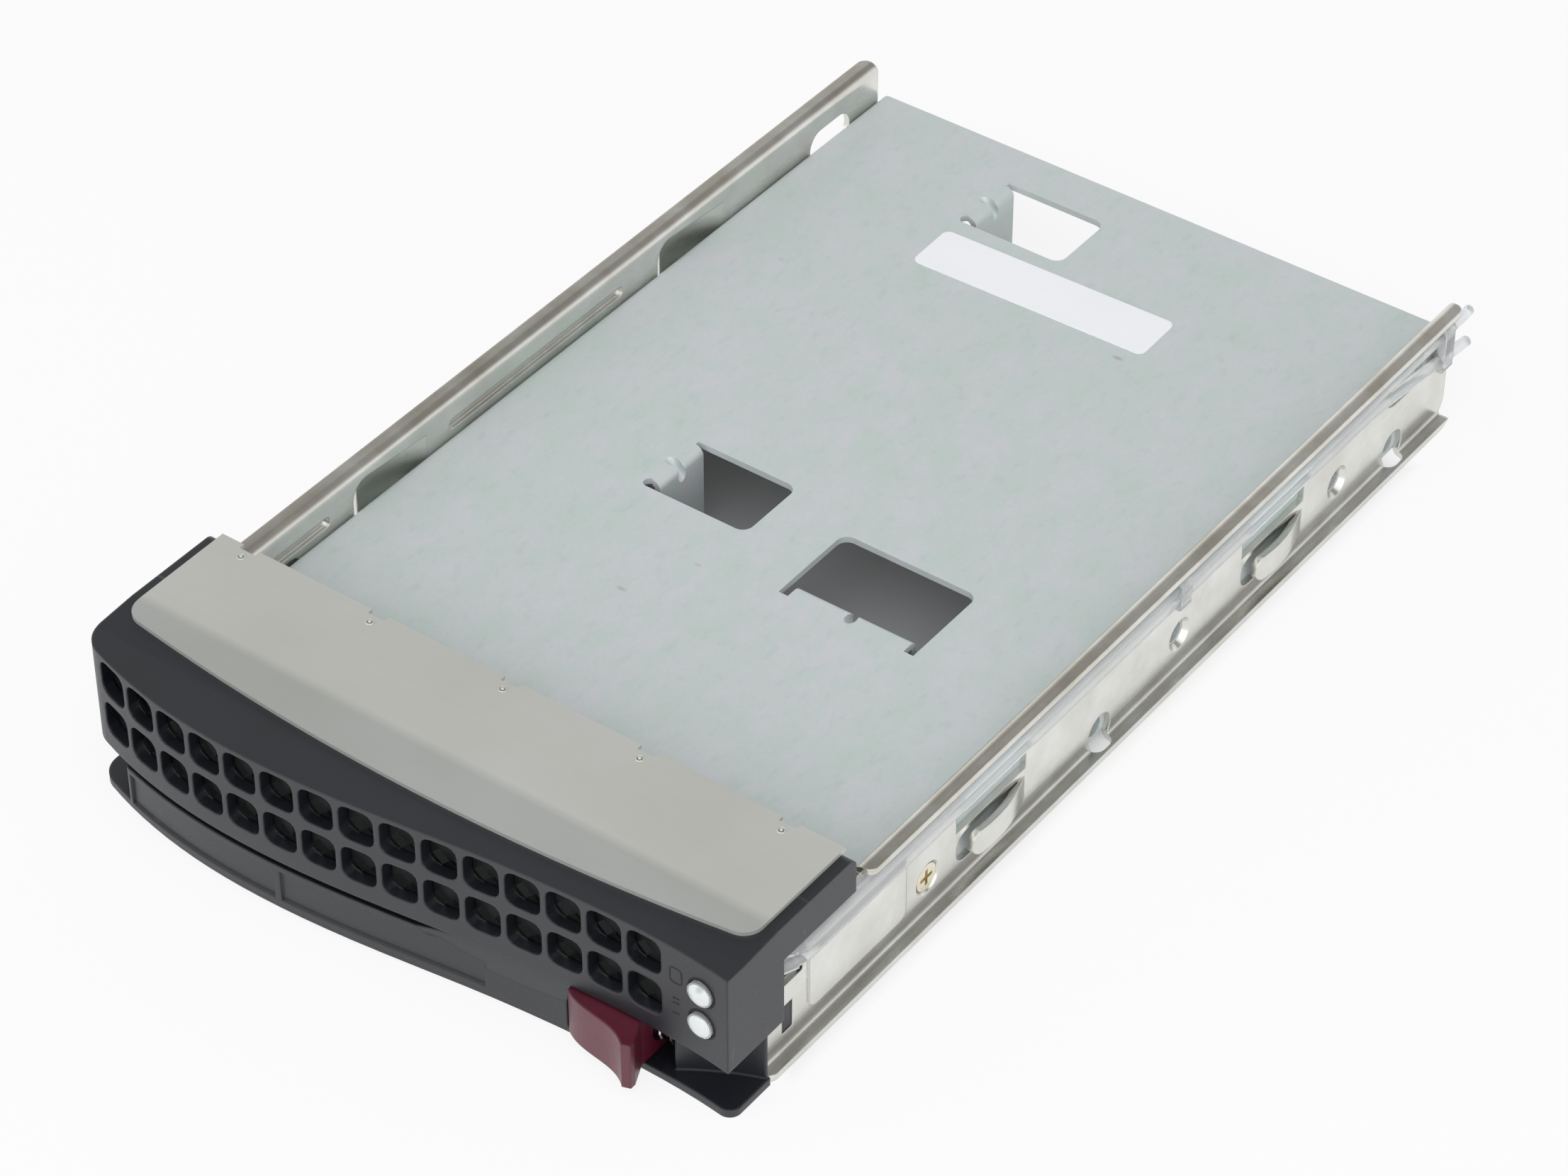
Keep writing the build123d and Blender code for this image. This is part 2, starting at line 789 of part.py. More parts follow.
# Perforated screen behind the vents
with BuildPart() as vent_screen:
    screen_half = vent_columns * vent_pitch_x / 2 - screen_side
    with BuildSketch(Plane.XY.offset(bezel_foot + bezel_skin + screen_gap)):
        front_strip(
            bezel_wall + screen_gap,
            bezel_wall + screen_gap + screen_thick,
            vent_x - screen_half,
            vent_x + screen_half,
        )
    extrude(amount=bezel_top - bezel_foot - 2 * bezel_skin - 2 * screen_gap)
    with BuildSketch(Plane.XZ.offset(-bezel_seam)):
        with Locations((vent_x, vent_z)):
            with GridLocations(
                vent_pitch_x / 2, vent_pitch_z / 2, 2 * vent_columns - 2, 4
            ):
                RegularPolygon(screen_hole, 4)
    extrude(amount=past, mode=Mode.SUBTRACT)
vent_screen.part.label = "vent_screen"
export_step(vent_screen.part, "parts/vent_screen.step")

# Shield flap: flat over the arms, then bent down along the bezel
with BuildPart() as shield_flap:
    slope = flap_drop / (flap_bend_y - flap_front)
    toe_y = flap_front - 2
    toe_z = bezel_top - slope * (flap_bend_y - toe_y)
    with BuildSketch(Plane.YZ.offset(-flap_half)):
        with BuildLine():
            Polyline(
                (arm_rear, bezel_top),
                (flap_bend_y, bezel_top),
                (toe_y, toe_z),
                (toe_y, toe_z + flap_thick),
                (flap_bend_y, bezel_top + flap_thick),
                (arm_rear, bezel_top + flap_thick),
                close=True,
            )
        make_face()
    extrude(amount=2 * flap_half)
    with BuildSketch(Plane.XY.offset(bezel_foot)):
        with BuildLine():
            edge = ThreePointArc(
                (-flap_half, flap_side_front), (0, flap_front), (flap_half, flap_side_front)
            )
            Line(edge @ 1, (flap_half, arm_rear))
            Line((flap_half, arm_rear), (-flap_half, arm_rear))
            Line((-flap_half, arm_rear), edge @ 0)
        flap_plan = make_face()
        fillet(flap_plan.vertices().group_by(Axis.Y)[0], flap_corner)
        chamfer(flap_plan.vertices().group_by(Axis.Y)[-1], flap_rear_corner)
        with Locations((flap_notch_x, arm_rear)):
            with GridLocations(flap_notch_pitch, 0, flap_notches, 1):
                Rectangle(flap_notch_width, 2 * flap_notch_depth, mode=Mode.SUBTRACT)
        with Locations((flap_notch_x, arm_rear - flap_pin_inset)):
            with GridLocations(flap_notch_pitch, 0, flap_notches, 1):
                RegularPolygon(flap_pin_r, 6, mode=Mode.SUBTRACT)
    extrude(amount=bezel_top, mode=Mode.INTERSECT)
shield_flap.part.label = "shield_flap"
export_step(shield_flap.part, "parts/shield_flap.step")

# Lever
with BuildPart() as handle_lever:
    with BuildSketch(Plane.XY.offset(lever_foot)):
        front_strip(0, lever_thick, lever_left, lever_right)
    extrude(amount=lever_top - lever_foot)
    fillet(handle_lever.edges().filter_by(Axis.Z).group_by(Axis.X)[0], lever_corner)
    with BuildSketch(Plane.XY.offset(lever_foot)):
        with Locations((hinge_x, hinge_y)):
            Circle(hub_r)
        with Locations((hinge_x, hinge_y)):
            Rectangle(2 * hub_r - 0.6, 5, align=(Align.CENTER, Align.MAX))
        # Tooth that hooks behind the bay's edge
        with BuildLine():
            Polyline(
                (hinge_x, hinge_y - 2.4),
                (hinge_x - 0.9 * tooth_r, hinge_y - 0.2),
                (hinge_x - 0.985 * tooth_r, hinge_y + 1.2),
                (hinge_x - 0.95 * tooth_r, hinge_y + 2.2),
                (hinge_x - 0.82 * tooth_r, hinge_y + 1.9),
                (hinge_x, hinge_y + 2.6),
                close=True,
            )
        make_face()
    extrude(amount=lever_top - lever_foot)
    # Two sunk panels on the front face
    with BuildSketch(Plane.XY.offset(lever_foot + 0.8)):
        front_strip(
            -panel_border,
            panel_sink,
            lever_left + panel_border,
            lever_right - panel_end,
        )
        with Locations((panel_split, hinge_y)):
            Rectangle(1, past, mode=Mode.SUBTRACT)
    extrude(amount=lever_top - lever_foot - 1.6, mode=Mode.SUBTRACT)
    # Thumb scoop near the free end
    scoop_line = Vector(0, -1, 0).rotate(Axis.X, -scoop_tilt)
    scoop_middle = Vector(lever_right - 3.6, bezel_seam - 11.4, lever_top)
    with Locations(scoop_middle + scoop_line * (scoop_r - scoop_depth)):
        Sphere(scoop_r, mode=Mode.SUBTRACT)
    # Pin bore, spring pocket, and the arc slot for the spring's moving end
    with Locations((hinge_x, hinge_y)):
        Cylinder(pin_r + pin_fit, 4 * lever_top, mode=Mode.SUBTRACT)
    with Locations((hinge_x, hinge_y, coil_pocket_foot)):
        Cylinder(
            coil_pocket_r,
            lever_top,
            align=(Align.CENTER, Align.CENTER, Align.MIN),
            mode=Mode.SUBTRACT,
        )
    with BuildSketch(Plane.XY.offset(coil_pocket_foot)):
        SlotArc(
            CenterArc((hinge_x, hinge_y), coil_r, -8, 72, mode=Mode.PRIVATE),
            3 * coil_wire,
        )
    extrude(amount=-coil_leg_down - coil_wire, mode=Mode.SUBTRACT)
handle_lever.part.label = "handle_lever"
export_step(handle_lever.part, "parts/handle_lever.step")

# Hinge pin
with BuildPart() as lever_pin:
    with BuildSketch(Plane.XY.offset(pin_foot)):
        with Locations((hinge_x, hinge_y)):
            Circle(pin_r)
    extrude(amount=bezel_foot + bezel_skin - 0.2 - pin_foot)
lever_pin.part.label = "lever_pin"
export_step(lever_pin.part, "parts/lever_pin.step")

# Torsion coil round the pin, with one end in the bezel and one in the lever
lever_spring = wound_wire(
    Plane((hinge_x, hinge_y, coil_pocket_foot + coil_wire + 0.1)),
    coil_r,
    coil_turns * coil_pitch,
    coil_turns,
    coil_wire,
    coil_leg_down,
    coil_leg_up,
)
lever_spring.label = "lever_spring"
export_step(lever_spring, "parts/lever_spring.step")

# Release button
with BuildPart() as release_button:
    with BuildSketch(Plane.XY.offset(lever_foot)):
        with BuildLine():
            thumb = Spline(
                *[
                    (button_left + share * button_width, bezel_seam - depth)
                    for share, depth in thumb_shape
                ]
            )
            lip_x = button_side + thumb_lip
            lip_y = bezel_seam - thumb_shape[-1][1]
            Polyline(
                thumb @ 1,
                (lip_x, lip_y + 0.4),
                (lip_x, lip_y + 1.3),
                (button_side, lip_y + 4.4),
                (button_side, button_back),
                (button_left, button_back),
                thumb @ 0,
            )
        make_face()
    extrude(amount=button_top - lever_foot)
    # Foot in the lip's slot, and the spring's pocket
    with Locations((guide_left, guide_y, pin_foot)):
        Box(
            guide_length,
            guide_width,
            lever_foot + 1 - pin_foot,
            align=(Align.MIN, Align.CENTER, Align.MIN),
        )
    with Locations(Location((spring_pocket_x, spring_y, spring_z), (0, 90, 0))):
        Cylinder(
            spring_pocket_r,
            button_width,
            align=(Align.CENTER, Align.CENTER, Align.MIN),
            mode=Mode.SUBTRACT,
        )
release_button.part.label = "release_button"
export_step(release_button.part, "parts/release_button.step")

# Button spring, between the pocket's end and the block
button_spring = wound_wire(
    Plane(
        origin=(spring_pocket_x + pin_fit + spring_wire, spring_y, spring_z),
        x_dir=(0, 1, 0),
        z_dir=(1, 0, 0),
    ),
    spring_r,
    spring_room - 2 * pin_fit - 2 * spring_wire,
    spring_turns,
    spring_wire,
)
button_spring.label = "button_spring"
export_step(button_spring, "parts/button_spring.step")

# Light pipes: a window in the bezel, a thick stub out through the rail, then a rod to the rear
for window_z, stub_z, run_z, end_z, name in (
    (upper_window_pipe_z, upper_stub_z, upper_pipe_z, upper_pipe_z, "light_pipe_upper"),
    (
        lower_window_pipe_z,
        lower_window_pipe_z,
        lower_pipe_z,
        lower_pipe_end_z,
        "light_pipe_lower",
    ),
):
    plug_end = Vector(pipe_window_x, pipe_plug_rear - 0.2, stub_z)
    bend_point = Vector(pipe_window_x, pipe_bend_y, stub_z)
    reach_point = Vector(pipe_x, pipe_reach_y, run_z)
    stub_end = bend_point + (reach_point - bend_point) * stub_share
    with BuildPart() as light_pipe:
        with BuildSketch(Plane.XZ.offset(-pipe_plug_rear)):
            with Locations((pipe_window_x, window_z)):
                Circle(pipe_window_r)
        extrude(amount=pipe_plug_rear - pipe_plug_front)
        with BuildLine() as stub:
            FilletPolyline(plug_end, bend_point, stub_end, radius=pipe_bend_r)
        with BuildSketch(Plane(origin=plug_end, z_dir=(0, 1, 0))):
            Circle(stub_r)
        sweep(path=stub.wires()[0])
        with BuildLine() as rod:
            if end_z == run_z:
                FilletPolyline(
                    bend_point + (reach_point - bend_point) * 0.5,
                    reach_point,
                    (pipe_x, pipe_rear, end_z),
                    radius=pipe_bend_r,
                )
            else:
                FilletPolyline(
                    bend_point + (reach_point - bend_point) * 0.5,
                    reach_point,
                    (pipe_x, pipe_fall_y, run_z),
                    (pipe_x, pipe_rear, end_z),
                    radius=[pipe_bend_r, pipe_fall_r],
                )
        with BuildSketch(
            Plane(
                origin=bend_point + (reach_point - bend_point) * 0.5,
                z_dir=reach_point - bend_point,
            )
        ):
            Circle(pipe_r)
        sweep(path=rod.wires()[0])
    light_pipe.part.label = name
    export_step(light_pipe.part, "parts/" + name + ".step")

# Clips that hold both rods on the right rail
fall_slope = (lower_pipe_z - lower_pipe_end_z) / (pipe_rear - pipe_fall_y)
rear_low_z = lower_pipe_z - fall_slope * (rear_clip_y - pipe_fall_y)
for clip_y, low_z, drop, name in (
    (mid_clip_y, lower_pipe_z, pipe_fit, "light_pipe_clip_mid"),
    (rear_clip_y, rear_low_z, rear_clip_drop, "light_pipe_clip_rear"),
):
    with BuildPart() as pipe_clip:
        with BuildSketch(Plane.XZ.offset(-clip_y)):
            clip_low = low_z - pipe_r - clip_wall
            clip_high = upper_pipe_z + pipe_r + clip_wall
            with Locations((web_out, (clip_low + clip_high) / 2)):
                RectangleRounded(
                    clip_out - web_out,
                    clip_high - clip_low,
                    clip_corner,
                    align=(Align.MIN, Align.CENTER),
                )
            with Locations((pipe_x, upper_pipe_z)):
                Circle(pipe_r + pipe_fit / 2, mode=Mode.SUBTRACT)
            with Locations((pipe_x, low_z)):
                Ellipse(pipe_r + pipe_fit / 2, pipe_r + drop, mode=Mode.SUBTRACT)
        extrude(amount=clip_length / 2, both=True)
    pipe_clip.part.label = name
    export_step(pipe_clip.part, "parts/" + name + ".step")

# Countersunk cross-head screws
with BuildPart() as plate_screw_right:
    with Locations(Location((screw_tip, side_hole_front, side_hole_z), (0, 90, 0))):
        Cylinder(
            screw_shank_r,
            screw_reach,
            align=(Align.CENTER, Align.CENTER, Align.MIN),
        )
    with Locations(Location((rail_in, side_hole_front, side_hole_z), (0, 90, 0))):
        Cone(
            screw_shank_r,
            screw_head_r,
            screw_face - rail_in,
            align=(Align.CENTER, Align.CENTER, Align.MIN),
        )
    with Locations((screw_face, side_hole_front, side_hole_z)):
        Box(2 * cross_depth, cross_length, cross_width, mode=Mode.SUBTRACT)
        Box(2 * cross_depth, cross_width, cross_length, mode=Mode.SUBTRACT)
plate_screw_right.part.label = "plate_screw_right"
export_step(plate_screw_right.part, "parts/plate_screw_right.step")

with BuildPart() as plate_screw_left:
    mirror(plate_screw_right.part, about=Plane.YZ)
plate_screw_left.part.label = "plate_screw_left"
export_step(plate_screw_left.part, "parts/plate_screw_left.step")

# Bare label on the plate
with BuildPart() as label:
    with BuildSketch(Plane.XY.offset(plate_top)):
        with Locations(Location((label_x, label_y), label_tilt)):
            RectangleRounded(label_length, label_width, 1.2)
    extrude(amount=label_thick)
label.part.label = "label"
export_step(label.part, "parts/label.step")
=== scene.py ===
"""Drive tray adapter on a white studio floor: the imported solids, their finishes and the small trim."""
import math

import bmesh
import bpy
from mathutils import Matrix, Vector
from mathutils.bvhtree import BVHTree


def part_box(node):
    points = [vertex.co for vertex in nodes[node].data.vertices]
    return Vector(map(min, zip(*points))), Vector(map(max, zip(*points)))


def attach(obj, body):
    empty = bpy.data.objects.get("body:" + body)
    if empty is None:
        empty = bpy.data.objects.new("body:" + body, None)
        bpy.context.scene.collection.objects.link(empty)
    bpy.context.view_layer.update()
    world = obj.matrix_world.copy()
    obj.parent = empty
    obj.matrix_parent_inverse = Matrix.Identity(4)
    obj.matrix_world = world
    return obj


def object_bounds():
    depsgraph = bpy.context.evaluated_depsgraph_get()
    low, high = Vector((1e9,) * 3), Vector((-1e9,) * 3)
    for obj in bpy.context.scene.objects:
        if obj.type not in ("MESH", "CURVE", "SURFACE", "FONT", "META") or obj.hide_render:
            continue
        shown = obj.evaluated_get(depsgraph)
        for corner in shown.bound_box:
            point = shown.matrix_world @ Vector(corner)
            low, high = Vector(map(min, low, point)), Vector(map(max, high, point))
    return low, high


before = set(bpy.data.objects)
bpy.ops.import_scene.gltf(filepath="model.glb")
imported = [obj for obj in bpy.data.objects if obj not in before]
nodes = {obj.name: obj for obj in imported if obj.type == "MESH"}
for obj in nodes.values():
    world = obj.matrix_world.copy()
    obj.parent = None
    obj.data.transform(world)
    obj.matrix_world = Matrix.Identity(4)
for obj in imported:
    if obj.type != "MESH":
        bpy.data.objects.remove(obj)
cad_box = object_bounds()
MM = 0.001

# Where the rails' top flange and the flap's front slope start; both get painted shade there
RAIL_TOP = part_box("right_rail")[1][2]
RAIL_TOP_SHADE_FROM = RAIL_TOP - 0.9 * MM
RAIL_TOP_SHADE_FULL = RAIL_TOP - 0.2 * MM
FLAP_BEND_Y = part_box("shield_flap")[0][1] + 7.15 * MM
FLAP_BEND_HALF = 0.8 * MM

# Span that the values of a noise mostly cover
NOISE_LOW = 0.3
NOISE_HIGH = 0.7

# Sockets of the Mix node in colour mode
MIX_FACTOR = 0
MIX_FIRST = 6
MIX_SECOND = 7
MIX_RESULT = 2


# Materials

def srgb(r, g, b):
    """Linear colour of an 8-bit sRGB colour."""
    out = []
    for v in (r, g, b):
        v = v / 255
        out.append(v / 12.92 if v <= 0.04045 else ((v + 0.055) / 1.055) ** 2.4)
    return (*out, 1.0)


def grey(level):
    """Plain grey factor for a colour that is multiplied."""
    return (level, level, level, 1.0)


class Finish:
    """A node material on Object coordinates, with short helpers for its nodes.

    base and roughness are what a viewer shows that reads no nodes.
    """

    def __init__(self, name, base, roughness, metallic=0.0):
        self.material = bpy.data.materials.new(name)
        self.material.use_nodes = True
        self.tree = self.material.node_tree
        self.shader = self.tree.nodes["Principled BSDF"]
        self.shader.inputs["Base Color"].default_value = base
        self.shader.inputs["Roughness"].default_value = roughness
        self.shader.inputs["Metallic"].default_value = metallic
        self.coords = self.node("ShaderNodeTexCoord").outputs["Object"]

    def node(self, kind, **settings):
        made = self.tree.nodes.new(kind)
        for key, value in settings.items():
            setattr(made, key, value)
        return made

    def link(self, source, target):
        self.tree.links.new(source, target)

    def stretched(self, x=1.0, y=1.0, z=1.0, turn=(0.0, 0.0, 0.0)):
        mapping = self.node("ShaderNodeMapping")
        mapping.inputs["Scale"].default_value = (x, y, z)
        mapping.inputs["Rotation"].default_value = turn
        self.link(self.coords, mapping.inputs["Vector"])
        return mapping.outputs["Vector"]

    def noise(self, scale, detail, roughness, vector=None):
        texture = self.node("ShaderNodeTexNoise")
        texture.inputs["Scale"].default_value = scale
        texture.inputs["Detail"].default_value = detail
        texture.inputs["Roughness"].default_value = roughness
        self.link(vector or self.coords, texture.inputs["Vector"])
        return texture.outputs["Fac"]

    def cell_distance(self, scale, vector):
        texture = self.node("ShaderNodeTexVoronoi")
        texture.inputs["Scale"].default_value = scale
        self.link(vector, texture.inputs["Vector"])
        return texture.outputs["Distance"]

    def ramp(self, factor, low, high, start=NOISE_LOW, end=NOISE_HIGH):
        ramp = self.node("ShaderNodeValToRGB")
        ramp.color_ramp.elements[0].color = low
        ramp.color_ramp.elements[0].position = start
        ramp.color_ramp.elements[1].color = high
        ramp.color_ramp.elements[1].position = end
        self.link(factor, ramp.inputs["Fac"])
        return ramp.outputs["Color"]

    def range(self, factor, low, high, start=NOISE_LOW, end=NOISE_HIGH):
        span = self.node("ShaderNodeMapRange")
        span.inputs["From Min"].default_value = start
        span.inputs["From Max"].default_value = end
        span.inputs["To Min"].default_value = low
        span.inputs["To Max"].default_value = high
        self.link(factor, span.inputs["Value"])
        return span.outputs["Result"]

    def mix(self, factor, a, b, blend="MIX"):
        mixer = self.node("ShaderNodeMix", data_type="RGBA", blend_type=blend)
        for socket, value in ((MIX_FACTOR, factor), (MIX_FIRST, a), (MIX_SECOND, b)):
            if isinstance(value, bpy.types.NodeSocket):
                self.link(value, mixer.inputs[socket])
            else:
                mixer.inputs[socket].default_value = value
        return mixer.outputs[MIX_RESULT]

    def times(self, a, b, share=1.0):
        return self.mix(share, a, b, "MULTIPLY")

    def math(self, operation, first, second=None):
        sum_node = self.node("ShaderNodeMath", operation=operation)
        self.link(first, sum_node.inputs[0])
        if second is not None:
            self.link(second, sum_node.inputs[1])
        return sum_node.outputs[0]

    def larger(self, first, second):
        return self.math("MAXIMUM", first, second)

    def colour(self, source):
        self.link(source, self.shader.inputs["Base Color"])

    def rough(self, source):
        self.link(source, self.shader.inputs["Roughness"])

    def bump(self, height, strength, distance, edge=0.0):
        """Fine relief; edge is the radius that sharp edges look rounded by."""
        bump = self.node("ShaderNodeBump")
        bump.inputs["Strength"].default_value = strength
        bump.inputs["Distance"].default_value = distance
        self.link(height, bump.inputs["Height"])
        if edge:
            rounding = self.node("ShaderNodeBevel")
            rounding.samples = 4
            rounding.inputs["Radius"].default_value = edge
            self.link(rounding.outputs["Normal"], bump.inputs["Normal"])
        self.link(bump.outputs["Normal"], self.shader.inputs["Normal"])

    def along(self, axis):
        """Place of a point along one axis of the frame, in metres."""
        parts = self.node("ShaderNodeSeparateXYZ")
        self.link(self.coords, parts.inputs["Vector"])
        return parts.outputs[axis]


def galvanised_plate():
    """Zinc-coated sheet: soft green and lilac mottling, fine grain and a few tan flecks."""
    f = Finish("galvanised_plate", srgb(203, 211, 210), 0.5, 0.2)
    mottle = f.noise(scale=240, detail=5, roughness=0.65, vector=f.stretched(1, 0.6, 1, (0, 0, 0.5)))
    tint = f.ramp(mottle, srgb(201, 214, 210), srgb(210, 214, 217), 0.36, 0.64)
    grain = f.noise(scale=1700, detail=3, roughness=0.6)
    crystal = f.noise(scale=560, detail=4, roughness=0.6, vector=f.stretched(1, 0.5, 1, (0, 0, 0.5)))
    shade = f.ramp(grain, grey(0.965), grey(1.0))
    spot = f.ramp(crystal, (0.93, 0.945, 0.94, 1), grey(1.0), 0.28, 0.46)
    sheet = f.times(f.times(tint, spot), shade)
    fleck = f.cell_distance(26, f.stretched(1, 2.2, 1, (0, 0, 0.4)))
    f.colour(f.mix(f.range(fleck, 0.45, 0.0, 0.012, 0.03), sheet, srgb(150, 134, 112)))
    f.rough(f.range(mottle, 0.44, 0.56))
    f.bump(grain, strength=0.1, distance=0.04 * MM)
    return f.material


def rail_sheet():
    """Bright rolled sheet of the rails with lengthwise grain; painted shade makes the top flange darker and
    warmer.
    """
    f = Finish("rail_sheet", srgb(224, 223, 218), 0.24, 1.0)
    grain = f.noise(scale=900, detail=4, roughness=0.6, vector=f.stretched(1, 0.03, 1))
    cloud = f.noise(scale=130, detail=4, roughness=0.55)
    tint = f.ramp(cloud, srgb(212, 211, 205), srgb(230, 230, 226))
    streak = f.ramp(grain, grey(0.97), grey(1.0))
    web = f.times(tint, streak)
    # Painted shade: the top flange is made darker and warmer than the web, standing for its less lit top face
    warm_top_shade = f.times(web, f.ramp(cloud, srgb(240, 236, 226), srgb(254, 252, 248)))
    top = f.range(f.along("Z"), 0.0, 1.0, RAIL_TOP_SHADE_FROM, RAIL_TOP_SHADE_FULL)
    f.colour(f.mix(top, web, warm_top_shade))
    f.rough(f.range(grain, 0.2, 0.3))
    f.bump(grain, strength=0.02, distance=0.03 * MM, edge=0.3 * MM)
    return f.material


def satin_flap():
    """Satin stainless sheet of the flap, brushed across; painted shade makes it cooler and darker down its
    front slope.
    """
    f = Finish("satin_flap", srgb(201, 202, 196), 0.38, 0.35)
    f.shader.inputs["Specular IOR Level"].default_value = 0.3
    grain = f.noise(scale=800, detail=3, roughness=0.5, vector=f.stretched(0.04, 1, 1))
    cloud = f.noise(scale=45, detail=3, roughness=0.5)
    tint = f.ramp(cloud, srgb(198, 199, 192), srgb(204, 205, 200))
    shade = f.ramp(grain, grey(0.985), grey(1.0))
    sheet = f.times(tint, shade)
    front, rear = FLAP_BEND_Y - FLAP_BEND_HALF, FLAP_BEND_Y + FLAP_BEND_HALF
    slope_shade = f.range(f.along("Y"), 1.0, 0.0, front, rear)
    # Painted shade: the front slope is multiplied to a cooler, darker tone, standing for the less lit slope
    f.colour(f.mix(slope_shade, sheet, f.times(sheet, (0.78, 0.79, 0.81, 1))))
    f.rough(f.range(cloud, 0.35, 0.41))
    f.bump(grain, strength=0.02, distance=0.02 * MM)
    return f.material


def moulded_black():
    """Black moulded plastic with a fine spark-eroded texture and a few faint scratches."""
    f = Finish("moulded_black", srgb(24, 25, 30), 0.42)
    f.shader.inputs["Specular IOR Level"].default_value = 0.75
    fine = f.noise(scale=3600, detail=3, roughness=0.6)
    cloud = f.noise(scale=70, detail=3, roughness=0.5)
    skin = f.ramp(cloud, srgb(14, 17, 24), srgb(20, 23, 31))
    scratch = f.noise(scale=260, detail=2, roughness=0.4, vector=f.stretched(0.12, 2.4, 1, (0, 0, 0.9)))
    f.colour(f.mix(f.range(scratch, 0.0, 0.5, 0.74, 0.8), skin, srgb(78, 80, 84)))
    f.rough(f.range(fine, 0.36, 0.48))
    f.bump(fine, strength=0.12, distance=0.03 * MM, edge=0.5 * MM)
    return f.material


def burgundy_plastic():
    """Burgundy moulded plastic of the release button."""
    f = Finish("burgundy_plastic", srgb(100, 31, 52), 0.4)
    fine = f.noise(scale=3400, detail=3, roughness=0.6)
    cloud = f.noise(scale=120, detail=3, roughness=0.5)
    f.colour(f.ramp(cloud, srgb(78, 16, 35), srgb(90, 22, 43)))
    f.shader.inputs["Specular IOR Level"].default_value = 0.75
    f.rough(f.range(fine, 0.34, 0.46))
    f.bump(fine, strength=0.12, distance=0.03 * MM, edge=0.5 * MM)
    return f.material


def clear_rod():
    """Clear acrylic of the light pipes and their clips, milky along the draw marks."""
    f = Finish("clear_rod", srgb(246, 249, 250), 0.1)
    f.shader.inputs["Transmission Weight"].default_value = 0.7
    f.shader.inputs["IOR"].default_value = 1.49
    streak = f.noise(scale=260, detail=2, roughness=0.4, vector=f.stretched(1, 0.02, 1))
    f.colour(f.ramp(streak, srgb(236, 240, 242), srgb(252, 253, 254)))
    f.rough(f.range(streak, 0.04, 0.09))
    f.bump(streak, strength=0.01, distance=0.03 * MM)
    return f.material


def frosted_lens():
    """White frosted face of the indicator windows, greyer where the pipe's core shows."""
    f = Finish("frosted_lens", srgb(174, 178, 179), 0.25)
    core = f.noise(scale=420, detail=2, roughness=0.4)
    f.colour(f.ramp(core, srgb(176, 183, 182), srgb(216, 220, 221), 0.36, 0.48))
    f.rough(f.range(core, 0.2, 0.34))
    f.bump(core, strength=0.1, distance=0.05 * MM)
    return f.material


def shadow_black():
    """Painted shadow: dull black of the bead that stands for the shaded gap round each indicator window."""
    f = Finish("shadow_black", srgb(12, 12, 14), 0.7)
    fine = f.noise(scale=2600, detail=3, roughness=0.6)
    f.colour(f.ramp(fine, srgb(8, 8, 10), srgb(18, 18, 21)))
    f.rough(f.range(fine, 0.6, 0.8))
    f.bump(fine, strength=0.1, distance=0.03 * MM)
    return f.material


def dark_screen():
    """Dull steel of the perforated screen, painted near-black as painted shade for the dark inside the vents.
    """
    f = Finish("dark_screen", srgb(36, 37, 38), 0.5, 0.8)
    cloud = f.noise(scale=300, detail=4, roughness=0.5)
    # Painted shade: near-black steel tones stand for the shade behind the grille
    f.colour(f.ramp(cloud, srgb(26, 27, 28), srgb(50, 51, 52)))
    f.rough(f.range(cloud, 0.4, 0.6))
    f.bump(cloud, strength=0.1, distance=0.05 * MM)
    return f.material


def bright_wire():
    """Bright spring wire and the hinge pin."""
    f = Finish("bright_wire", srgb(200, 202, 204), 0.22, 1.0)
    drawn = f.noise(scale=1500, detail=3, roughness=0.5)
    f.colour(f.ramp(drawn, srgb(178, 180, 182), srgb(220, 222, 224)))
    f.rough(f.range(drawn, 0.16, 0.3))
    f.bump(drawn, strength=0.06, distance=0.03 * MM)
    return f.material


def yellow_zinc():
    """Pale yellow zinc plating of the countersunk screws."""
    f = Finish("yellow_zinc", srgb(226, 214, 186), 0.26, 1.0)
    cloud = f.noise(scale=900, detail=4, roughness=0.6)
    f.colour(f.ramp(cloud, srgb(222, 210, 178), srgb(243, 238, 224)))
    f.rough(f.range(cloud, 0.18, 0.34))
    f.bump(cloud, strength=0.1, distance=0.03 * MM, edge=0.1 * MM)
    return f.material


def bare_label():
    """Blank white paper label."""
    f = Finish("bare_label", srgb(232, 234, 238), 0.5)
    fibre = f.noise(scale=1600, detail=5, roughness=0.7)
    cloud = f.noise(scale=60, detail=3, roughness=0.5)
    tint = f.ramp(cloud, srgb(244, 246, 250), srgb(249, 250, 253))
    f.colour(f.times(tint, f.ramp(fibre, grey(0.7), grey(1.0), 0.0, 1.0), share=0.08))
    f.rough(f.range(fibre, 0.44, 0.56))
    f.bump(fibre, strength=0.08, distance=0.03 * MM)
    return f.material


plate_finish = galvanised_plate()
rail_finish = rail_sheet()
flap_finish = satin_flap()
black_finish = moulded_black()
button_finish = burgundy_plastic()
rod_finish = clear_rod()
lens_finish = frosted_lens()
gap_shadow_finish = shadow_black()
shade_black_screen_finish = dark_screen()
wire_finish = bright_wire()
screw_finish = yellow_zinc()
label_finish = bare_label()

